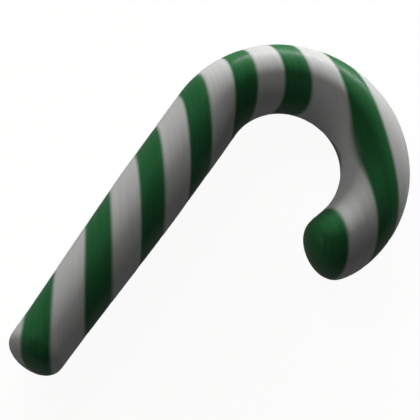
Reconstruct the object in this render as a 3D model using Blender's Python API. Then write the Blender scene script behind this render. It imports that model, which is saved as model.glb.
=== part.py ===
"""A chunky candy cane of pulled hard sugar, lying on its side.

The cane is one round rod. Its straight stem narrows a little towards the foot, and its hook
turns a little more than half a circle and ends in a rounded tip. The underside has a narrow
flat, where the warm rod was set down to cool, and the cane lies on it.

Units are metres, +Z is up. The stem lies along Y with the hook at the +Y end, curling over
towards +X. The origin is the middle of the cane's box, on the surface that it lies on.
"""

import math

import bmesh
import bpy
from mathutils import Matrix, Vector

# Driving dimensions
ROD_DIAMETER = 0.020
STEM_LENGTH = 0.091             # foot's end to the start of the hook
HOOK_RADIUS = 0.0263            # of the rod's centre line
HOOK_TURN = math.radians(210)

FOOT_TAPER_LENGTH = 0.068       # stretch of the stem that narrows
FOOT_NARROWING = 0.85           # rod's size at the foot, as a share of the full rod
FOOT_ROUNDING = 0.0045          # length of the foot's rounded end
TIP_TAPER_LENGTH = 0.0115
TIP_NARROWING = 0.91
TIP_ROUNDING = 0.0050

FLAT_DEPTH = 0.00015            # how deep the flat on the underside is cut

# Fineness of the mesh
SIDES = 36                      # faces around the rod
STEM_RINGS = 20
HOOK_STEP = math.radians(3.75)  # divides a quarter turn, so the hook keeps its full reach
END_RINGS = 7                   # in each rounded end

SUGAR_COLOUR = (0.86, 0.85, 0.82, 1.0)
SUGAR_ROUGHNESS = 0.25

# Derived sizes
ROD_RADIUS = ROD_DIAMETER / 2
FOOT_END = -STEM_LENGTH
HOOK_LENGTH = HOOK_RADIUS * HOOK_TURN
TIP_END = HOOK_LENGTH + TIP_ROUNDING


def clear_scene():
    """Remove the objects that are there already."""
    for old in list(bpy.data.objects):
        bpy.data.objects.remove(old, do_unlink=True)


def ease(share):
    """Rise from 0 to 1 with no corner at either end."""
    share = min(max(share, 0.0), 1.0)
    return share * share * (3.0 - 2.0 * share)


def rounded_end(distance, length):
    """Share of the rod's size at a distance from its end, for a quarter ellipse."""
    inward = min(distance / length, 1.0)
    return math.sqrt(max(0.0, 1.0 - (1.0 - inward) ** 2))


def rod_radius(along):
    """Radius of the rod at a place along its centre line, 0 being the start of the hook."""
    from_foot = along - FOOT_END
    from_tip = TIP_END - along
    foot = FOOT_NARROWING + (1.0 - FOOT_NARROWING) * ease(from_foot / FOOT_TAPER_LENGTH)
    tip = TIP_NARROWING + (1.0 - TIP_NARROWING) * ease(from_tip / TIP_TAPER_LENGTH)
    ends = rounded_end(from_foot, FOOT_ROUNDING) * rounded_end(from_tip, TIP_ROUNDING)
    return ROD_RADIUS * foot * tip * ends


def centre_line(along):
    """Point on the centre line, and the direction from it to the hook's outer side."""
    turn = min(max(along / HOOK_RADIUS, 0.0), HOOK_TURN)
    outward = Vector((-math.cos(turn), math.sin(turn), 0.0))
    forward = Vector((math.sin(turn), math.cos(turn), 0.0))
    hook_centre = Vector((HOOK_RADIUS, 0.0, 0.0))
    straight_run = min(along, 0.0) + max(along - HOOK_LENGTH, 0.0)
    return hook_centre + outward * HOOK_RADIUS + forward * straight_run, outward


def stations():
    """Places of the rings along the rod, closer together in the two rounded ends."""
    quarter = [math.pi / 2 * step / END_RINGS for step in range(1, END_RINGS + 1)]
    foot = [FOOT_END + FOOT_ROUNDING * (1.0 - math.cos(angle)) for angle in quarter]
    tip = [TIP_END - TIP_ROUNDING * (1.0 - math.cos(angle)) for angle in reversed(quarter)]

    stem_start = foot[-1]
    stem = [stem_start * (1.0 - step / STEM_RINGS) for step in range(1, STEM_RINGS)]
    hook_count = math.ceil(HOOK_TURN / HOOK_STEP - 0.1)
    hook = [HOOK_RADIUS * HOOK_STEP * step for step in range(hook_count)]
    return foot + stem + hook + tip


def build_rod():
    """Sweep the ring of the rod along its centre line, and close both ends on a point."""
    shape = bmesh.new()
    rings = []
    for along in stations():
        middle, outward = centre_line(along)
        radius = rod_radius(along)
        ring = []
        for side in range(SIDES):
            angle = 2.0 * math.pi * side / SIDES
            reach = outward * math.cos(angle) + Vector((0.0, 0.0, 1.0)) * math.sin(angle)
            ring.append(shape.verts.new(middle + reach * radius))
        rings.append(ring)

    for ring, following in zip(rings, rings[1:]):
        for side in range(SIDES):
            beside = (side + 1) % SIDES
            shape.faces.new((ring[side], ring[beside], following[beside], following[side]))

    for ring, end in ((rings[0], FOOT_END), (rings[-1], TIP_END)):
        pole = shape.verts.new(centre_line(end)[0])
        for side in range(SIDES):
            shape.faces.new((pole, ring[side], ring[(side + 1) % SIDES]))

    bmesh.ops.recalc_face_normals(shape, faces=shape.faces)
    mesh = bpy.data.meshes.new("candy_cane")
    shape.to_mesh(mesh)
    shape.free()
    mesh.shade_smooth()

    rod = bpy.data.objects.new("candy_cane", mesh)
    bpy.context.collection.objects.link(rod)
    return rod


def rest_offset():
    """Shift from the start of the hook to the middle of the cane's box, at the flat's height."""
    width_middle = HOOK_RADIUS
    length_middle = (FOOT_END + HOOK_RADIUS + ROD_RADIUS) / 2.0
    flat_height = FLAT_DEPTH - ROD_RADIUS
    return Vector((-width_middle, -length_middle, -flat_height))


def cut_flat(rod):
    """Cut the narrow flat on the underside with a slab that reaches up to the floor's level."""
    margin = ROD_DIAMETER
    width = 2.0 * (HOOK_RADIUS + ROD_RADIUS + margin)
    length = STEM_LENGTH + HOOK_RADIUS + ROD_RADIUS + 2.0 * margin
    shape = bmesh.new()
    bmesh.ops.create_cube(shape, size=1.0)
    bmesh.ops.scale(shape, vec=(width, length, margin), verts=shape.verts)
    bmesh.ops.translate(shape, vec=(0.0, 0.0, -margin / 2.0), verts=shape.verts)
    mesh = bpy.data.meshes.new("flat_cutter")
    shape.to_mesh(mesh)
    shape.free()

    cutter = bpy.data.objects.new("flat_cutter", mesh)
    cutter.hide_render = True
    cutter.display_type = "WIRE"
    bpy.context.collection.objects.link(cutter)

    cut = rod.modifiers.new("flat", "BOOLEAN")
    cut.operation = "DIFFERENCE"
    cut.solver = "EXACT"
    cut.object = cutter


def sugar_material():
    """Glossy pulled sugar of the rod's white body."""
    material = bpy.data.materials.new("pulled_sugar")
    material.use_nodes = True
    surface = material.node_tree.nodes["Principled BSDF"]
    surface.inputs["Base Color"].default_value = SUGAR_COLOUR
    surface.inputs["Roughness"].default_value = SUGAR_ROUGHNESS
    surface.inputs["Metallic"].default_value = 0.0
    material.diffuse_color = SUGAR_COLOUR
    return material


def main():
    """Build the cane where it lies."""
    clear_scene()
    cane = build_rod()
    cane.data.materials.append(sugar_material())
    cane.data.transform(Matrix.Translation(rest_offset()))
    cut_flat(cane)


main()
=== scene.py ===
"""Looks of a chunky candy cane: pulled hard sugar, white with green stripes wound round it.

The cane lies on its side on a pale studio floor. Its body is swept by a Geometry Nodes tree along
a straight stem and a hook, and the same tree works out where each stripe runs, so that the colour,
the fine pull marks and the shallow relief all follow the twist of the sugar.

Units are metres, +Z is up. The stem lies along Y with the hook at the +Y end.
"""

import logging
import math
from dataclasses import dataclass, field
from enum import Enum
from typing import Dict, List, Optional, Sequence, Tuple, Union

import bmesh
import bpy
from mathutils import Matrix, Vector


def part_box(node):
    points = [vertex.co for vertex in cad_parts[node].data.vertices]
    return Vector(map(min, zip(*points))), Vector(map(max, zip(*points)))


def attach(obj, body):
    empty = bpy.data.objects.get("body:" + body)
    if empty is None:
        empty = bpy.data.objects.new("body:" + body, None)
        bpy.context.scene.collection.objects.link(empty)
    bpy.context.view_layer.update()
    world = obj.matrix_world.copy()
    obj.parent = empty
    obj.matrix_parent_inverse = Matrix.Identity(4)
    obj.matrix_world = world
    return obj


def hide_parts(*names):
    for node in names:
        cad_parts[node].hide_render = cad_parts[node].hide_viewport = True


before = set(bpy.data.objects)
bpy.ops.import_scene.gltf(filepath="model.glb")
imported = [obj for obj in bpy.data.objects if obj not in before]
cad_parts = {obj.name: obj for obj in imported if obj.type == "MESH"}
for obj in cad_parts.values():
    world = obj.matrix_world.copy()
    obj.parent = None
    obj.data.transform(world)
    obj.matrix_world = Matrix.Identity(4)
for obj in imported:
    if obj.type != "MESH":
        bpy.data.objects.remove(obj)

LOG = logging.getLogger("candy_cane")
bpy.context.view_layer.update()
CAD_NODE = "candy_cane"

MM = 0.001
AIM = (-0.01002, 0.00440, 0.00985)     # where the camera looks
FULL_TURN = 2.0 * math.pi

Colour = Tuple[float, float, float, float]
Number = Union[float, "Field"]


class Shade(Enum):
    """Colours of the sugar and of the studio, as linear light."""

    MILK_WHITE = (0.800, 0.800, 0.785, 1.0)
    HOLLY_GREEN = (0.028, 0.193, 0.060, 1.0)
    PALE_PAPER = (0.920, 0.920, 0.915, 1.0)
    LAMP_WHITE = (1.0, 1.0, 1.0, 1.0)


class Lamp(Enum):
    """Where each soft light stands, as seen by someone looking at the cane."""

    BEYOND_HOOK = "beyond_hook"
    BEYOND_HOOK_SOFT = "beyond_hook_soft"
    UPPER_LEFT = "upper_left"
    LEFT = "left"
    OVERHEAD = "overhead"


class Field:
    """A value that flows through a node tree, on which arithmetic adds Math nodes."""

    def __init__(self, tree: bpy.types.NodeTree, socket: bpy.types.NodeSocket) -> None:
        """Wrap a socket.

        Args:
            tree: The node tree that the value flows through.
            socket: The output socket that gives the value.
        """
        self.tree = tree
        self.socket = socket

    def math(self, operation: str, *others: Number) -> "Field":
        """Work out a further value.

        Args:
            operation: The Math node's operation.
            others: Values for the inputs after the first.

        Returns:
            The result of the operation.
        """
        node = self.tree.nodes.new("ShaderNodeMath")
        node.operation = operation
        for socket, value in zip(node.inputs, (self, *others)):
            plug(self.tree, value, socket)
        return Field(self.tree, node.outputs[0])

    def __add__(self, other: Number) -> "Field":
        """Sum."""
        return self.math("ADD", other)

    def __sub__(self, other: Number) -> "Field":
        """Difference."""
        return self.math("SUBTRACT", other)

    def __mul__(self, other: Number) -> "Field":
        """Product."""
        return self.math("MULTIPLY", other)

    def __truediv__(self, other: Number) -> "Field":
        """Quotient."""
        return self.math("DIVIDE", other)

    def __neg__(self) -> "Field":
        """Opposite."""
        return self.math("MULTIPLY", -1.0)

    def __radd__(self, other: float) -> "Field":
        """Sum with a plain number in front."""
        return self.math("ADD", other)

    def __rmul__(self, other: float) -> "Field":
        """Product with a plain number in front."""
        return self.math("MULTIPLY", other)

    def __rsub__(self, other: float) -> "Field":
        """A plain number less this value."""
        return (-self).math("ADD", other)

    def sin(self) -> "Field":
        """Sine."""
        return self.math("SINE")

    def cos(self) -> "Field":
        """Cosine."""
        return self.math("COSINE")

    def exp(self) -> "Field":
        """Exponential."""
        return self.math("EXPONENT")

    def root(self) -> "Field":
        """Square root of the value, or of 0 where it is negative."""
        return self.math("MAXIMUM", 0.0).math("SQRT")

    def at_most(self, limit: Number) -> "Field":
        """The lesser of the value and the limit."""
        return self.math("MINIMUM", limit)

    def at_least(self, limit: Number) -> "Field":
        """The greater of the value and the limit."""
        return self.math("MAXIMUM", limit)

    def held(self, low: Number, high: Number) -> "Field":
        """The value kept between two limits."""
        return self.at_least(low).at_most(high)

    def eased(self, start: Number = 0.0, end: Number = 1.0) -> "Field":
        """Rise smoothly from 0 to 1.

        Args:
            start: Value at which the rise starts.
            end: Value at which it ends.

        Returns:
            The eased share.
        """
        node = self.tree.nodes.new("ShaderNodeMapRange")
        node.interpolation_type = "SMOOTHSTEP"
        for name, value in (("Value", self), ("From Min", start), ("From Max", end)):
            plug(self.tree, value, node.inputs[name])
        return Field(self.tree, node.outputs[0])


def plug(tree: bpy.types.NodeTree, value: object, socket: bpy.types.NodeSocket) -> None:
    """Feed a value into a socket.

    Args:
        tree: The node tree of both.
        value: A field or an output socket, which is linked, or a plain value, which is set.
        socket: The input socket.
    """
    if isinstance(value, Field):
        value = value.socket
    if isinstance(value, bpy.types.NodeSocket):
        tree.links.new(value, socket)
    else:
        socket.default_value = value


def add_node(tree: bpy.types.NodeTree, kind: str,
             inputs: Optional[Dict[object, object]] = None,
             **settings: object) -> bpy.types.Node:
    """Add a node with its settings and inputs.

    Args:
        tree: The tree that gets the node.
        kind: The node's type.
        inputs: Values by the input's name or number.
        settings: The node's own properties.

    Returns:
        The new node.
    """
    node = tree.nodes.new(kind)
    for name, value in settings.items():
        setattr(node, name, value)
    for key, value in (inputs or {}).items():
        plug(tree, value, node.inputs[key])
    return node


def joined(tree: bpy.types.NodeTree, x: Number, y: Number, z: Number) -> bpy.types.NodeSocket:
    """A vector made of three values."""
    node = add_node(tree, "ShaderNodeCombineXYZ", {0: x, 1: y, 2: z})
    return node.outputs[0]


def parted(tree: bpy.types.NodeTree, vector: bpy.types.NodeSocket) -> Tuple[Field, Field, Field]:
    """The three values of a vector."""
    node = add_node(tree, "ShaderNodeSeparateXYZ", {0: vector})
    return tuple(Field(tree, output) for output in node.outputs)


def declare(tree: bpy.types.NodeTree, name: str, kind: str, way: str = "INPUT",
            value: object = None) -> str:
    """Add a named socket to a tree's interface.

    Args:
        tree: The tree that gets the socket.
        name: The socket's name.
        kind: The socket's type.
        way: INPUT or OUTPUT.
        value: The socket's value where nothing else is set.

    Returns:
        The socket's identifier.
    """
    socket = tree.interface.new_socket(name=name, in_out=way, socket_type=kind)
    if value is not None:
        socket.default_value = value
    return socket.identifier


@dataclass(frozen=True)
class Winding:
    """How the green stripes run over the rod. Lengths are in rod radii.

    The upper side is crossed by slanting stripes that fan out round the hook. On the underside
    each stripe of the stem closes its turn, and two of them end in a fork.
    """

    heading: float = math.radians(45.12)   # way that the stripes advance, from +Y to +X
    dip: float = math.radians(-18.43)      # and how far that way drops below the level
    lean: float = math.radians(21.58)      # slant of the fan's own axis
    fan: float = 0.0864                    # how fast the stripes spread towards the top
    count_at_hook: float = 5.0077          # stripes from the foot to the middle of the hook
    reach: float = 5.0                     # length that the four terms below are given for
    terms: Tuple[float, ...] = (3.4525, 0.0478, -0.2154, -0.0384)
    green_from: float = 0.0235             # share of the stripe's pitch where green begins
    fork_places: Tuple[float, ...] = (0.8, 3.5)
    fork_sharpness: float = 1.1
    fade_limit: float = 20.0               # keeps the forks' exponential within range
    fork_bearing: float = math.radians(280)
    fork_spread: float = math.radians(92)

    def advance_axis(self) -> Vector:
        """Direction in which one stripe follows another.

        Returns:
            A vector of length 1.
        """
        level = math.cos(self.dip)
        return Vector((math.sin(self.heading) * level, math.cos(self.heading) * level,
                       math.sin(self.dip)))

    def run_axis(self) -> Vector:
        """Direction in which a stripe runs.

        Returns:
            A vector of length 1.
        """
        side = Vector((math.cos(self.heading), -math.sin(self.heading), 0.0))
        over = self.advance_axis().cross(side)
        return side * math.cos(self.lean) + over * math.sin(self.lean)

    def fan_axis(self) -> Vector:
        """Direction in which the stripes spread."""
        return self.run_axis().cross(self.advance_axis())

    def green_level(self) -> float:
        """Sine of the stripe's phase above which the sugar is green."""
        return math.sin(FULL_TURN * self.green_from)


@dataclass
class SugarRod:
    """The cane's body: one round rod with a straight stem and a hook."""

    rod_radius: float
    hook_radius: float
    stem_length: float
    hook_turn: float = math.radians(210)
    foot_taper_length: float = 68 * MM
    foot_narrowing: float = 0.85
    foot_rounding: float = 4.5 * MM
    tip_taper_length: float = 11.5 * MM
    tip_narrowing: float = 0.91
    tip_rounding: float = 5.0 * MM
    flat_softness: float = 0.10 * MM
    seam_depth: float = 0.05 * MM       # groove where a stripe meets the next
    seam_width: float = 0.22            # half its width, as a rise of the phase's sine
    sunk_green: float = 0.03 * MM       # how far the green lies below the white
    ridge_depth: float = 0.07 * MM      # ridges left by the pulling, along the twist
    ridge_count: float = 2.6            # how closely they lie across a stripe
    ridge_change: float = 0.30          # how fast they change along the twist
    wobble_depth: float = 0.12 * MM     # slow unevenness of a rod rolled by hand
    wobble_change: float = 0.55         # how fast it changes, in turns for each rod radius
    end_share: float = 0.040            # share of the rings in each rounded end
    end_power: float = 3.0              # above 2 the end flows into the rod with no crease
    crowding: float = 1.5               # rings crowd together towards the end's middle
    mingling: float = 0.16              # share of the foot's end where the colours run together
    smooth_end: float = 0.3             # share of an end's radius where the relief fades out
    rings: int = 640
    sides: int = 144
    weld: float = 0.001 * MM            # points that lie closer than this become one
    seed: int = 7
    winding: Winding = field(default_factory=Winding)

    @classmethod
    def inside(cls, low: Vector, high: Vector, flat_depth: float = 0.15 * MM,
               slack: float = 0.001 * MM) -> "SugarRod":
        """Size the rod from the box that holds it.

        Args:
            low: Lowest corner of the box.
            high: Highest corner of the box.
            flat_depth: How deep the flat on the underside is cut.
            slack: A hair's breadth left at the foot, so that rounding stays in the box.

        Returns:
            A rod that fills the box.
        """
        rod_radius = (high.z - low.z + flat_depth) / 2.0
        hook_radius = (high.x - low.x) / 2.0 - rod_radius
        stem_length = high.y - low.y - hook_radius - rod_radius - slack
        return cls(rod_radius, hook_radius, stem_length)

    def hook_middle(self, low: Vector, high: Vector) -> Vector:
        """Centre of the hook's arc.

        Args:
            low: Lowest corner of the cane's box.
            high: Highest corner of the cane's box.

        Returns:
            The centre, at the height of the rod's own centre line.
        """
        return Vector(((low.x + high.x) / 2.0, high.y - self.rod_radius - self.hook_radius,
                       high.z - self.rod_radius))

    def sizes(self, middle: Vector) -> Dict[str, Tuple[str, object]]:
        """Named inputs of the sweep.

        Args:
            middle: Centre of the hook's arc.

        Returns:
            The type and the value of each input, by its name.
        """
        wind = self.winding
        number, whole, triple = "NodeSocketFloat", "NodeSocketInt", "NodeSocketVector"
        return {
            "Hook Middle": (triple, middle),
            "Rod Radius": (number, self.rod_radius),
            "Hook Radius": (number, self.hook_radius),
            "Hook Turn": (number, self.hook_turn),
            "Stem Length": (number, self.stem_length),
            "Foot Taper": (number, self.foot_taper_length),
            "Foot Narrowing": (number, self.foot_narrowing),
            "Foot Rounding": (number, self.foot_rounding),
            "Tip Taper": (number, self.tip_taper_length),
            "Tip Narrowing": (number, self.tip_narrowing),
            "Tip Rounding": (number, self.tip_rounding),
            "Flat Softness": (number, self.flat_softness),
            "Seam Depth": (number, self.seam_depth),
            "Sunk Green": (number, self.sunk_green),
            "Ridge Depth": (number, self.ridge_depth),
            "Wobble Depth": (number, self.wobble_depth),
            "Advance Axis": (triple, wind.advance_axis()),
            "Run Axis": (triple, wind.run_axis()),
            "Fan Axis": (triple, wind.fan_axis()),
            "Fan": (number, wind.fan),
            "Rings": (whole, self.rings),
            "Sides": (whole, self.sides),
            "Seed": (whole, self.seed),
        }

    def build(self, middle: Vector, material: bpy.types.Material) -> bpy.types.Object:
        """Sweep the rod and turn it into a plain mesh.

        Args:
            middle: Centre of the hook's arc.
            material: The sugar's material.

        Returns:
            The finished body, with its place in its mesh.
        """
        sweep = CaneSweep(self, middle)
        tree = sweep.tree
        holder = bpy.data.objects.new("sugar_sweep", bpy.data.meshes.new("sugar_sweep"))
        bpy.context.scene.collection.objects.link(holder)
        modifier = holder.modifiers.new("sweep", "NODES")
        modifier.node_group = tree
        for name, (_, value) in self.sizes(middle).items():
            modifier[sweep.identifiers[name]] = (
                list(value) if isinstance(value, Vector) else value)
        modifier[sweep.identifiers["Material"]] = material

        graph = bpy.context.evaluated_depsgraph_get()
        evaluated = holder.evaluated_get(graph)
        mesh = bpy.data.meshes.new_from_object(evaluated, depsgraph=graph)
        holder.modifiers.remove(modifier)
        bpy.data.objects.remove(holder)
        bpy.data.node_groups.remove(tree)

        mesh.name = "sugar_rod"
        body = bpy.data.objects.new("sugar_rod", mesh)
        bpy.context.scene.collection.objects.link(body)
        return body


class CaneSweep:
    """The Geometry Nodes tree that sweeps the rod and lays out its stripes."""

    def __init__(self, rod: SugarRod, middle: Vector) -> None:
        """Build the tree.

        Args:
            rod: The rod whose rule the tree follows.
            middle: Centre of the hook's arc.
        """
        self.rod = rod
        self.tree = bpy.data.node_groups.new("cane_sweep", "GeometryNodeTree")
        self.identifiers: Dict[str, str] = {}
        declare(self.tree, "Geometry", "NodeSocketGeometry", "OUTPUT")
        for name, (kind, value) in rod.sizes(middle).items():
            self.identifiers[name] = declare(self.tree, name, kind, "INPUT", value)
        self.identifiers["Material"] = declare(self.tree, "Material", "NodeSocketMaterial")
        self.entry = self.tree.nodes.new("NodeGroupInput")
        self.lay_out()

    def size(self, name: str) -> Field:
        """A named size of the rod, as a field."""
        return Field(self.tree, self.entry.outputs[name])

    def grid(self) -> Tuple[bpy.types.NodeSocket, Field, Field]:
        """The flat sheet that is bent into the rod.

        Returns:
            The sheet, the share of the way along the rod, and the angle round it.
        """
        node = add_node(self.tree, "GeometryNodeMeshGrid", {
            "Size X": 1.0, "Size Y": 1.0, "Vertices X": self.size("Rings"),
            "Vertices Y": self.size("Sides") + 1.0})
        place = self.tree.nodes.new("GeometryNodeInputPosition")
        x, y, _ = parted(self.tree, place.outputs[0])
        return node.outputs["Mesh"], x + 0.5, (y + 0.5) * FULL_TURN

    def run_along(self, share: Field) -> Field:
        """Distance along the centre line from the start of the hook.

        Args:
            share: Share of the rings passed, from the foot to the tip.

        Returns:
            The distance, whose rings crowd together in both rounded ends.
        """
        ends = self.rod.end_share
        quarter = math.pi / 2.0
        foot = (share / ends).at_most(1.0).math("POWER", self.rod.crowding) * quarter
        tip = ((1.0 - share) / ends).at_most(1.0).math("POWER", self.rod.crowding) * quarter
        body = ((share - ends) / (1.0 - 2.0 * ends)).held(0.0, 1.0)
        straight = (self.size("Stem Length") + self.size("Hook Radius") * self.size("Hook Turn")
                    - self.size("Foot Rounding"))
        return (self.size("Foot Rounding") * (1.0 - foot.cos()) - self.size("Stem Length")
                + body * straight + self.size("Tip Rounding") * tip.cos())

    def radius(self, along: Field) -> Field:
        """Radius of the rod before any relief.

        Args:
            along: Distance along the centre line from the start of the hook.

        Returns:
            The radius, which narrows to a point at both ends.
        """
        from_foot = along + self.size("Stem Length")
        from_tip = (self.size("Hook Radius") * self.size("Hook Turn")
                    + self.size("Tip Rounding") - along)
        radius = self.size("Rod Radius")
        for distance, end in ((from_foot, "Foot"), (from_tip, "Tip")):
            narrow = self.size(end + " Narrowing")
            taper = (distance / self.size(end + " Taper")).eased()
            blend = self.size(end + " Rounding") * (self.rod.end_power / 2.0)
            inward = 1.0 - (distance / blend).at_most(1.0)
            radius = radius * (narrow + (1.0 - narrow) * taper)
            radius = radius * (1.0 - inward.math("POWER", self.rod.end_power)).root()
        return radius

    def stripe_phase(self, place: Sequence[Field], along: Field, angle: Field,
                     foot_end: Field) -> Field:
        """Number of stripes passed from the foot, green in the first half of each.

        Args:
            place: Place on the smooth rod from the hook's middle, in rod radii.
            along: Distance along the rod from the start of the hook, in rod radii.
            angle: Angle round the rod.
            foot_end: How near the middle of the foot's end is, from 0 to 1.

        Returns:
            The count, which grows by whole stripes round the stem.
        """
        wind = self.rod.winding
        advance = self.along_axis(place, "Advance Axis")
        advance = advance / (1.0 + self.size("Fan") * self.along_axis(place, "Fan Axis"))
        step = advance / wind.reach
        phase, power = wind.count_at_hook, step
        for term in wind.terms:
            phase = phase + power * term
            power = power * step

        under = (angle - wind.fork_bearing).math("WRAP", math.pi, -math.pi)
        spread = foot_end.eased(0.0, 1.0) * (math.pi - wind.fork_spread) + wind.fork_spread
        swing = (under / spread).held(-1.0, 1.0)
        swing = swing * (1.5 - 0.5 * swing * swing) * math.pi     # slows down at both ends
        for fork in wind.fork_places:
            fade = (-(along - fork) * wind.fork_sharpness).at_most(wind.fade_limit).exp()
            turn = (fade * swing.sin()).math("ARCTAN2", 1.0 - fade * swing.cos())
            phase = phase - turn / FULL_TURN
        return phase

    def between_ends(self, share: Field) -> Field:
        """1 along the rod and exactly 0 on its first and last ring, which closes both ends."""
        hair = 0.1 / self.rod.rings      # less than the step from one ring to the next
        return share.math("GREATER_THAN", hair) * share.math("LESS_THAN", 1.0 - hair)

    def foot_end(self, along: Field, girth: Field) -> Field:
        """How near the middle of the foot's end is.

        Args:
            along: Distance along the rod from the start of the hook, in rod radii.
            girth: Radius of the rod there, in rod radii.

        Returns:
            A share from 0 on the full rod to 1 in the middle of the foot's end.
        """
        return (1.0 - girth / self.rod.foot_narrowing).held(0.0, 1.0) * (-along).eased(0.0, 1.0)

    def along_axis(self, place: Sequence[Field], axis: str) -> Field:
        """How far a place lies along a named axis."""
        parts = parted(self.tree, self.size(axis).socket)
        return place[0] * parts[0] + place[1] * parts[1] + place[2] * parts[2]

    def noise(self, vector: bpy.types.NodeSocket, shift: Number, scale: float,
              detail: float) -> Field:
        """Soft random values from 0 to 1.

        Args:
            vector: Place where the value is read.
            shift: Fourth coordinate, which picks the pattern.
            scale: Fineness of the pattern.
            detail: Number of finer layers.

        Returns:
            The values.
        """
        node = add_node(self.tree, "ShaderNodeTexNoise", {
            "Vector": vector, "W": shift, "Scale": scale, "Detail": detail,
            "Roughness": 0.5}, noise_dimensions="4D")
        return Field(self.tree, node.outputs[0]).held(0.0, 1.0)

    def lay_out(self) -> None:
        """Join the whole tree, from the flat sheet to the dressed rod."""
        tree = self.tree
        sheet, share, angle = self.grid()
        along = self.run_along(share)
        radius = self.radius(along) * self.between_ends(share)
        rod_radius, hook_radius = self.size("Rod Radius"), self.size("Hook Radius")

        turn = (along / hook_radius).held(0.0, self.size("Hook Turn"))
        past_hook = (along - hook_radius * self.size("Hook Turn")).at_least(0.0)
        straight = along.at_most(0.0) + past_hook
        away = hook_radius + radius * angle.cos()
        place = (turn.sin() * straight - turn.cos() * away,
                 turn.cos() * straight + turn.sin() * away,
                 radius * angle.sin())
        in_radii = [part / rod_radius for part in place]
        run = along / rod_radius
        foot_end = self.foot_end(run, radius / rod_radius)
        phase = self.stripe_phase(in_radii, run, angle, foot_end) * FULL_TURN
        apart = 1.0 - foot_end.eased(1.0 - self.rod.mingling, 1.0)
        across, height = phase.cos() * apart, phase.sin() * apart
        lengthwise = self.along_axis(in_radii, "Run Axis")

        relief = self.relief(across, height, lengthwise, run, in_radii)
        relief = relief * (radius / rod_radius).eased(0.0, self.rod.smooth_end)
        radius = radius - relief
        away = hook_radius + radius * angle.cos()
        middle = parted(tree, self.size("Hook Middle").socket)
        x = turn.sin() * straight - turn.cos() * away + middle[0]
        y = turn.cos() * straight + turn.sin() * away + middle[1]
        z = radius * angle.sin() + middle[2]
        z = z.math("SMOOTH_MAX", 0.0, self.size("Flat Softness"))

        shape = add_node(tree, "GeometryNodeSetPosition", {
            "Geometry": self.store(sheet, "stripe", joined(tree, across, height, lengthwise)),
            "Position": joined(tree, x, y, z)}).outputs[0]
        shape = self.store(shape, "run", joined(tree, run, angle / FULL_TURN, share))
        shape = add_node(tree, "GeometryNodeMergeByDistance", {
            "Geometry": shape, "Distance": self.rod.weld}).outputs[0]
        shape = add_node(tree, "GeometryNodeFlipFaces", {"Mesh": shape}).outputs[0]
        shape = add_node(tree, "GeometryNodeSetShadeSmooth", {"Geometry": shape}).outputs[0]
        shape = add_node(tree, "GeometryNodeRealizeInstances", {"Geometry": shape}).outputs[0]
        shape = add_node(tree, "GeometryNodeSetMaterial", {
            "Geometry": shape, "Material": self.entry.outputs["Material"]}).outputs[0]
        leave = tree.nodes.new("NodeGroupOutput")
        tree.links.new(shape, leave.inputs[0])

    def store(self, shape: bpy.types.NodeSocket, name: str,
              vector: bpy.types.NodeSocket) -> bpy.types.NodeSocket:
        """Keep a vector on the mesh for the material to read.

        Args:
            shape: The geometry.
            name: The attribute's name.
            vector: Its value at each point.

        Returns:
            The geometry with the attribute.
        """
        node = add_node(self.tree, "GeometryNodeStoreNamedAttribute", {"Name": name},
                        data_type="FLOAT_VECTOR", domain="POINT")
        plug(self.tree, shape, node.inputs["Geometry"])
        plug(self.tree, vector, node.inputs["Value"])
        return node.outputs[0]

    def relief(self, across: Field, height: Field, lengthwise: Field, run: Field,
               place: Sequence[Field]) -> Field:
        """How far the surface lies below the smooth rod.

        Args:
            across: Cosine of the stripe's phase.
            height: Sine of the stripe's phase.
            lengthwise: Distance along the stripes, in rod radii.
            run: Distance along the rod, in rod radii.
            place: Place from the hook's middle, in rod radii.

        Returns:
            The depth, never below 0.
        """
        rod, seed = self.rod, self.size("Seed")
        edge = (height - rod.winding.green_level()) / rod.seam_width
        seam = (-(edge * edge)).exp() * self.size("Seam Depth")
        sunk = edge.eased(-1.0, 1.0) * self.size("Sunk Green")
        drawn = joined(self.tree, across * rod.ridge_count, height * rod.ridge_count,
                       lengthwise * rod.ridge_change)
        shift = run * rod.ridge_change + seed
        ridges = self.noise(drawn, shift, 1.0, 1.0) * self.size("Ridge Depth")
        rolled = joined(self.tree, *place)
        wobble = self.noise(rolled, seed, rod.wobble_change, 0.0) * self.size("Wobble Depth")
        return seam + sunk + ridges + wobble


def make_group(name: str, inputs: Dict[str, Tuple[str, object]],
               outputs: Dict[str, str]) -> Tuple[bpy.types.NodeTree, Dict[str, object]]:
    """Start a shader node group with named sockets.

    Args:
        name: The group's name.
        inputs: Type and value of each input, by name.
        outputs: Type of each output, by name.

    Returns:
        The group, and its inner input sockets by name.
    """
    tree = bpy.data.node_groups.new(name, "ShaderNodeTree")
    for label, kind in outputs.items():
        declare(tree, label, kind, "OUTPUT")
    for label, (kind, value) in inputs.items():
        declare(tree, label, kind, "INPUT", value)
    entry = tree.nodes.new("NodeGroupInput")
    return tree, {socket.name: socket for socket in entry.outputs if socket.name}


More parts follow.
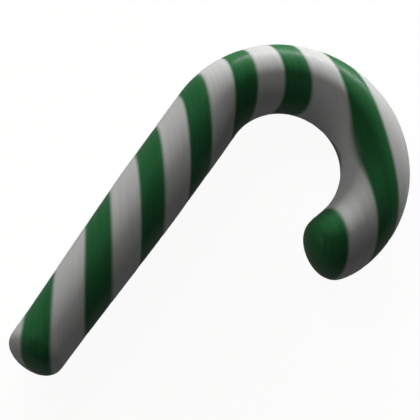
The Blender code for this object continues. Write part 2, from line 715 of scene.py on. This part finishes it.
def mottle_group() -> bpy.types.NodeTree:
    """Soft uneven mask, for hand marks on sugar and for the tooth of paper.

    Returns:
        A group that takes a vector and gives a mask from 0 to 1 and a finer height.
    """
    number = "NodeSocketFloat"
    tree, given = make_group(
        "soft_mottle",
        {"Vector": ("NodeSocketVector", None), "Scale": (number, 100.0),
         "Contrast": (number, 1.0), "Fineness": (number, 6.0)},
        {"Mask": number, "Height": number})
    broad = add_node(tree, "ShaderNodeTexNoise", {
        "Vector": given["Vector"], "Scale": given["Scale"], "Detail": 2.0})
    fine = add_node(tree, "ShaderNodeTexNoise", {
        "Vector": given["Vector"], "Detail": 3.0,
        "Scale": Field(tree, given["Scale"]) * Field(tree, given["Fineness"])})
    mask = (Field(tree, broad.outputs[0]) - 0.5) * Field(tree, given["Contrast"]) + 0.5
    leave = tree.nodes.new("NodeGroupOutput")
    plug(tree, mask.held(0.0, 1.0), leave.inputs["Mask"])
    plug(tree, fine.outputs[0], leave.inputs["Height"])
    return tree


def pull_group() -> bpy.types.NodeTree:
    """Fine marks that run the way the sugar was pulled and twisted.

    Returns:
        A group that takes the stripe and run vectors and gives the marks' mask.
    """
    number = "NodeSocketFloat"
    drift = 0.35          # how fast the marks change along the rod
    tree, given = make_group(
        "pull_marks",
        {"Stripe": ("NodeSocketVector", None), "Run": (number, 0.0),
         "Across": (number, 6.0), "Lengthwise": (number, 0.4), "Detail": (number, 3.0)},
        {"Mask": number})
    across, height, lengthwise = parted(tree, given["Stripe"])
    fineness = Field(tree, given["Across"])
    drawn = joined(tree, across * fineness, height * fineness,
                   lengthwise * Field(tree, given["Lengthwise"]))
    marks = add_node(tree, "ShaderNodeTexNoise", {
        "Vector": drawn, "W": Field(tree, given["Run"]) * drift, "Scale": 1.0,
        "Detail": given["Detail"], "Roughness": 0.55}, noise_dimensions="4D")
    leave = tree.nodes.new("NodeGroupOutput")
    plug(tree, marks.outputs[0], leave.inputs["Mask"])
    return tree


def put_group(tree: bpy.types.NodeTree, group: bpy.types.NodeTree,
              inputs: Dict[str, object]) -> bpy.types.Node:
    """Place a node group in a material with its own values.

    Args:
        tree: The material's tree.
        group: The node group.
        inputs: Values of the group's inputs, by name.

    Returns:
        The group's node.
    """
    node = tree.nodes.new("ShaderNodeGroup")
    node.node_tree = group
    for name, value in inputs.items():
        plug(tree, value, node.inputs[name])
    return node


def blended(tree: bpy.types.NodeTree, share: Number, first: object,
            second: object) -> bpy.types.NodeSocket:
    """A colour between two others, by the Mix node's colour inputs 6 and 7 and output 2."""
    node = add_node(tree, "ShaderNodeMix", {0: share, 6: first, 7: second}, data_type="RGBA")
    return node.outputs[2]


def dimmed(colour: Colour, factor: float) -> Colour:
    """A colour made darker or lighter by a factor."""
    return tuple(min(1.0, part * factor) for part in colour[:3]) + (1.0,)


@dataclass(frozen=True)
class PullMarks:
    """One layer of the marks that pulling leaves in sugar."""

    across: float         # how closely they lie across a stripe
    lengthwise: float     # how fast they change along it
    detail: float         # number of finer layers

    def put(self, tree: bpy.types.NodeTree, pull: bpy.types.NodeTree,
            stripe: bpy.types.NodeSocket, along: Field) -> Field:
        """Place the marks in a material.

        Args:
            tree: The material's tree.
            pull: The pull marks group.
            stripe: The stripe vector.
            along: Distance along the rod, in rod radii.

        Returns:
            The marks' mask.
        """
        node = put_group(tree, pull, {
            "Stripe": stripe, "Run": along, "Across": self.across,
            "Lengthwise": self.lengthwise, "Detail": self.detail})
        return Field(tree, node.outputs[0])


@dataclass(frozen=True)
class SugarTint:
    """One colour of the sugar, which pulling leaves uneven. The tints are factors."""

    shade: Shade
    deep: float            # where the sugar is densest
    pale: float            # where it holds the most air
    streak: float          # in thin streaks
    streak_share: float
    roughness: float
    body_range: Tuple[float, float] = (0.28, 0.72)      # of the broad mask, deep to pale
    streak_range: Tuple[float, float] = (0.55, 0.82)    # of the fine mask, none to full

    def put(self, tree: bpy.types.NodeTree, broad: Field, fine: Field) -> bpy.types.NodeSocket:
        """Make the uneven colour.

        Args:
            tree: The material's tree.
            broad: Mask of the broad marks.
            fine: Mask of the fine marks.

        Returns:
            The colour.
        """
        colour = self.shade.value
        body = blended(tree, broad.eased(*self.body_range), dimmed(colour, self.deep),
                       dimmed(colour, self.pale))
        return blended(tree, fine.eased(*self.streak_range) * self.streak_share, body,
                       dimmed(colour, self.streak))


@dataclass(frozen=True)
class StripedSugar:
    """Finish of the pulled sugar: white and green with a soft gleam and fine pull marks."""

    white: SugarTint = SugarTint(Shade.MILK_WHITE, deep=0.95, pale=1.03, streak=0.86,
                                 streak_share=0.22, roughness=0.45)
    green: SugarTint = SugarTint(Shade.HOLLY_GREEN, deep=0.88, pale=1.10, streak=1.40,
                                 streak_share=0.30, roughness=0.38)
    broad: PullMarks = PullMarks(across=4.0, lengthwise=0.5, detail=2.0)
    fine: PullMarks = PullMarks(across=14.0, lengthwise=0.9, detail=3.0)
    edge: PullMarks = PullMarks(across=2.2, lengthwise=1.6, detail=2.0)
    green_level: float = Winding().green_level()
    edge_softness: float = 0.26           # the colours run a little at their edge
    edge_bleed: float = 0.065             # and green strays further than white
    edge_waver: float = 0.05
    unevenness: float = 0.10              # of the roughness
    coat: float = 0.10
    coat_roughness: float = 0.22
    glow: float = 0.08                    # share of light that passes through the skin
    glow_depth: float = 1.2 * MM
    glow_tint: Tuple[float, float, float] = (1.0, 1.0, 0.9)
    hand_scale: float = 160.0             # marks of hands, in turns for each metre
    hand_contrast: float = 2.2
    grain_fineness: float = 7.0           # how much finer the grain is than those marks
    bump_strength: float = 0.35
    bump_height: float = 0.05 * MM
    bump_of_fine: float = 0.6             # what each mask adds to the skin's height
    bump_of_broad: float = 0.3
    bump_of_grain: float = 0.25

    def make(self, mottle: bpy.types.NodeTree, pull: bpy.types.NodeTree) -> bpy.types.Material:
        """Build the material.

        Args:
            mottle: The soft mottle group.
            pull: The pull marks group.

        Returns:
            The sugar's material.
        """
        material = bpy.data.materials.new("striped_sugar")
        material.use_nodes = True
        tree = material.node_tree
        surface = tree.nodes["Principled BSDF"]
        stripe = add_node(tree, "ShaderNodeAttribute", attribute_name="stripe").outputs["Vector"]
        run = add_node(tree, "ShaderNodeAttribute", attribute_name="run").outputs["Vector"]
        solid = add_node(tree, "ShaderNodeTexCoord").outputs["Object"]
        along, height = parted(tree, run)[0], parted(tree, stripe)[1]
        broad, fine, edge = (marks.put(tree, pull, stripe, along)
                             for marks in (self.broad, self.fine, self.edge))
        hand = put_group(tree, mottle, {
            "Vector": solid, "Scale": self.hand_scale, "Contrast": self.hand_contrast,
            "Fineness": self.grain_fineness})
        hand_mask, grain = Field(tree, hand.outputs[0]), Field(tree, hand.outputs[1])

        waver = (edge - 0.5) * (2.0 * self.edge_waver)
        level = height - self.green_level + self.edge_bleed + waver
        is_green = level.eased(-self.edge_softness, self.edge_softness)
        plug(tree, blended(tree, is_green, self.white.put(tree, broad, fine),
                           self.green.put(tree, broad, fine)), surface.inputs["Base Color"])

        rough = is_green * (self.green.roughness - self.white.roughness) + self.white.roughness
        rough = rough + (hand_mask + fine - 1.0) * self.unevenness     # each mask averages 0.5
        plug(tree, rough, surface.inputs["Roughness"])
        surface.inputs["Coat Weight"].default_value = self.coat
        surface.inputs["Coat Roughness"].default_value = self.coat_roughness
        surface.inputs["Subsurface Weight"].default_value = self.glow
        surface.inputs["Subsurface Radius"].default_value = self.glow_tint
        surface.inputs["Subsurface Scale"].default_value = self.glow_depth

        skin = (fine * self.bump_of_fine + broad * self.bump_of_broad
                + grain * self.bump_of_grain)
        bump = add_node(tree, "ShaderNodeBump", {
            "Height": skin, "Strength": self.bump_strength, "Distance": self.bump_height})
        plug(tree, bump.outputs[0], surface.inputs["Normal"])
        return material


@dataclass(frozen=True)
class LitPaper:
    """Finish of the floor: pale paper, lit from within like a light table."""

    paper: Shade = Shade.PALE_PAPER
    shine_through: float = 1.02       # light that the eye sees come through it
    shine_on_sugar: float = 0.08      # light from it that falls on the cane
    seen_share: float = 0.22          # paper's own colour as the eye sees it
    bounce_share: float = 0.25        # and as it throws light back on the cane
    tooth_scale: float = 45.0         # unevenness of the paper
    tooth_contrast: float = 1.2
    tooth_fineness: float = 12.0
    tooth_shade: float = 0.97
    bump_strength: float = 0.2
    bump_height: float = 0.05 * MM

    def make(self, mottle: bpy.types.NodeTree) -> bpy.types.Material:
        """Build the material.

        Args:
            mottle: The soft mottle group.

        Returns:
            The floor's material.
        """
        material = bpy.data.materials.new("lit_paper")
        material.use_nodes = True
        tree = material.node_tree
        tree.nodes.remove(tree.nodes["Principled BSDF"])
        solid = add_node(tree, "ShaderNodeTexCoord").outputs["Object"]
        tooth = put_group(tree, mottle, {
            "Vector": solid, "Scale": self.tooth_scale, "Contrast": self.tooth_contrast,
            "Fineness": self.tooth_fineness})
        mask = Field(tree, tooth.outputs[0])
        bump = add_node(tree, "ShaderNodeBump", {
            "Height": tooth.outputs[1], "Strength": self.bump_strength,
            "Distance": self.bump_height})
        seen = blended(tree, mask, dimmed(self.paper.value, self.seen_share * self.tooth_shade),
                       dimmed(self.paper.value, self.seen_share))
        sheet = add_node(tree, "ShaderNodeBsdfDiffuse", {
            "Color": seen, "Normal": bump.outputs[0]})
        glow = add_node(tree, "ShaderNodeEmission", {
            "Color": self.paper.value, "Strength": self.shine_through})
        lit = add_node(tree, "ShaderNodeAddShader", {0: sheet.outputs[0], 1: glow.outputs[0]})
        plain = add_node(tree, "ShaderNodeBsdfDiffuse", {
            "Color": dimmed(self.paper.value, self.bounce_share)})
        faint = add_node(tree, "ShaderNodeEmission", {
            "Color": self.paper.value, "Strength": self.shine_on_sugar})
        around = add_node(tree, "ShaderNodeAddShader", {
            0: plain.outputs[0], 1: faint.outputs[0]})
        path = tree.nodes.new("ShaderNodeLightPath")
        chosen = add_node(tree, "ShaderNodeMixShader", {
            0: path.outputs["Is Camera Ray"], 1: around.outputs[0], 2: lit.outputs[0]})
        tree.links.new(chosen.outputs[0], tree.nodes["Material Output"].inputs["Surface"])
        return material


@dataclass
class StudioFloor:
    """A wide flat sheet that the cane lies on."""

    width: float = 12.0
    squares: int = 8         # on each side
    level: float = 0.0

    def build(self, material: bpy.types.Material) -> bpy.types.Object:
        """Make the sheet.

        Args:
            material: The sheet's material.

        Returns:
            The floor.
        """
        shape = bmesh.new()
        bmesh.ops.create_grid(
            shape, x_segments=self.squares, y_segments=self.squares, size=self.width / 2.0,
            matrix=Matrix.Translation((0.0, 0.0, self.level)))
        mesh = bpy.data.meshes.new("studio_floor")
        shape.to_mesh(mesh)
        shape.free()
        mesh.materials.append(material)
        floor = bpy.data.objects.new("studio_floor", mesh)
        bpy.context.scene.collection.objects.link(floor)
        return floor


@dataclass(frozen=True)
class Softbox:
    """One soft light, placed as someone looking at the cane sees it."""

    where: Lamp
    bearing: float        # from the right of the view, anticlockwise, in degrees
    lift: float           # towards the viewer, in degrees
    power: float          # watts
    width: float
    height: float
    distance: float = 0.9
    reflected: bool = True   # a polarised light leaves no gleam on the sugar

    def build(self, view: "Viewpoint") -> bpy.types.Object:
        """Hang the light.

        Args:
            view: The viewpoint that the light is placed by.

        Returns:
            The light.
        """
        right, up, back = view.axes()
        bearing, lift = math.radians(self.bearing), math.radians(self.lift)
        side = right * math.cos(bearing) + up * math.sin(bearing)
        towards = side * math.cos(lift) + back * math.sin(lift)
        light = bpy.data.lights.new(self.where.value, "AREA")
        light.shape = "RECTANGLE"
        light.size, light.size_y = self.width, self.height
        light.energy = self.power
        light.color = Shade.LAMP_WHITE.value[:3]
        lamp = bpy.data.objects.new(self.where.value, light)
        lamp.location = view.aim + towards * self.distance
        lamp.rotation_euler = towards.to_track_quat("Z", "Y").to_euler()
        lamp.visible_camera = False
        lamp.visible_glossy = self.reflected
        bpy.context.scene.collection.objects.link(lamp)
        return lamp


@dataclass
class Viewpoint:
    """The camera, which looks down on the cane from beyond its foot."""

    aim: Vector
    azimuth: float = math.radians(4.425)
    elevation: float = math.radians(71.232)
    roll: float = math.radians(30.883)
    distance: float = 1.12344
    lens: float = 342.857    # in millimetres, as the sensor's width is
    sensor: float = 36.0
    nearest: float = 0.05
    furthest: float = 50.0

    def axes(self) -> Tuple[Vector, Vector, Vector]:
        """Directions of the view.

        Returns:
            To the right of the view, up it, and back towards the viewer.
        """
        flat = Vector((math.cos(self.azimuth), math.sin(self.azimuth), 0.0))
        back = Vector((math.sin(self.azimuth) * math.cos(self.elevation),
                       -math.cos(self.azimuth) * math.cos(self.elevation),
                       math.sin(self.elevation)))
        steep = back.cross(flat)
        right = flat * math.cos(self.roll) + steep * math.sin(self.roll)
        return right, back.cross(right), back

    def build(self) -> bpy.types.Object:
        """Set up the camera.

        Returns:
            The scene's camera.
        """
        right, up, back = self.axes()
        lens = bpy.data.cameras.new("viewpoint")
        lens.lens, lens.sensor_width = self.lens, self.sensor
        lens.clip_start, lens.clip_end = self.nearest, self.furthest
        camera = bpy.data.objects.new("viewpoint", lens)
        turn = Matrix((right, up, back)).transposed().to_4x4()
        camera.matrix_world = Matrix.Translation(self.aim + back * self.distance) @ turn
        bpy.context.scene.collection.objects.link(camera)
        bpy.context.scene.camera = camera
        return camera


@dataclass
class Studio:
    """Soft lights and a white surround that adds only a little light of its own."""

    surround: float = 0.022           # light from all round
    backdrop: float = 1.0             # how bright the surround looks beyond the floor
    lamps: Tuple[Softbox, ...] = (
        Softbox(Lamp.BEYOND_HOOK, bearing=73.0, lift=-13.0, power=3.2, width=0.90, height=0.12),
        Softbox(Lamp.BEYOND_HOOK_SOFT, bearing=73.0, lift=-13.0, power=7.2, width=0.90,
                height=0.12, reflected=False),
        Softbox(Lamp.UPPER_LEFT, bearing=110.0, lift=30.0, power=1.0, width=0.40, height=0.30,
                reflected=False),
        Softbox(Lamp.LEFT, bearing=165.0, lift=30.0, power=0.25, width=0.40, height=0.30),
        Softbox(Lamp.OVERHEAD, bearing=90.0, lift=85.0, power=0.25, width=0.60, height=0.60,
                reflected=False),
    )

    def build(self, view: Viewpoint) -> List[bpy.types.Object]:
        """Light the scene.

        Args:
            view: The viewpoint that the lights are placed by.

        Returns:
            The lights.
        """
        world = bpy.data.worlds.new("surround")
        world.use_nodes = True
        tree = world.node_tree
        air = tree.nodes["Background"]
        air.inputs["Color"].default_value = Shade.LAMP_WHITE.value
        path = tree.nodes.new("ShaderNodeLightPath")
        seen = Field(tree, path.outputs["Is Camera Ray"])
        plug(tree, seen * (self.backdrop - self.surround) + self.surround,
             air.inputs["Strength"])
        bpy.context.scene.world = world
        bpy.context.scene.view_settings.view_transform = "Standard"
        return [lamp.build(view) for lamp in self.lamps]


@dataclass
class CandyCane:
    """The whole sweet, which is one piece of striped sugar."""

    low: Vector
    high: Vector
    finish: StripedSugar = field(default_factory=StripedSugar)

    def build(self, mottle: bpy.types.NodeTree, pull: bpy.types.NodeTree) -> bpy.types.Object:
        """Make the cane in the place of its plain solid.

        Args:
            mottle: The soft mottle group.
            pull: The pull marks group.

        Returns:
            The striped body.
        """
        rod = SugarRod.inside(self.low, self.high)
        middle = rod.hook_middle(self.low, self.high)
        return rod.build(middle, self.finish.make(mottle, pull))

    def dress(self, body: bpy.types.Object) -> None:
        """Tie the body to the plain solid that it stands for.

        Args:
            body: The striped body.
        """
        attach(body, "root")
        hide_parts(CAD_NODE)


def main() -> None:
    """Build the cane, the floor, the lights and the camera."""
    logging.basicConfig(level=logging.INFO, format="%(name)s: %(message)s")
    mottle, pull = mottle_group(), pull_group()

    cane = CandyCane(*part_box(CAD_NODE))
    body = cane.build(mottle, pull)
    cane.dress(body)
    LOG.info("%s: %d faces", body.name, len(body.data.polygons))

    floor = StudioFloor().build(LitPaper().make(mottle))
    LOG.info("%s: %.1f m wide", floor.name, floor.dimensions.x)

    view = Viewpoint(aim=Vector(AIM))
    camera = view.build()
    LOG.info("%s: %.2f m from the cane", camera.name, view.distance)
    for lamp in Studio().build(view):
        LOG.info("%s: %.1f W", lamp.name, lamp.data.energy)


if __name__ == "__main__":
    main()
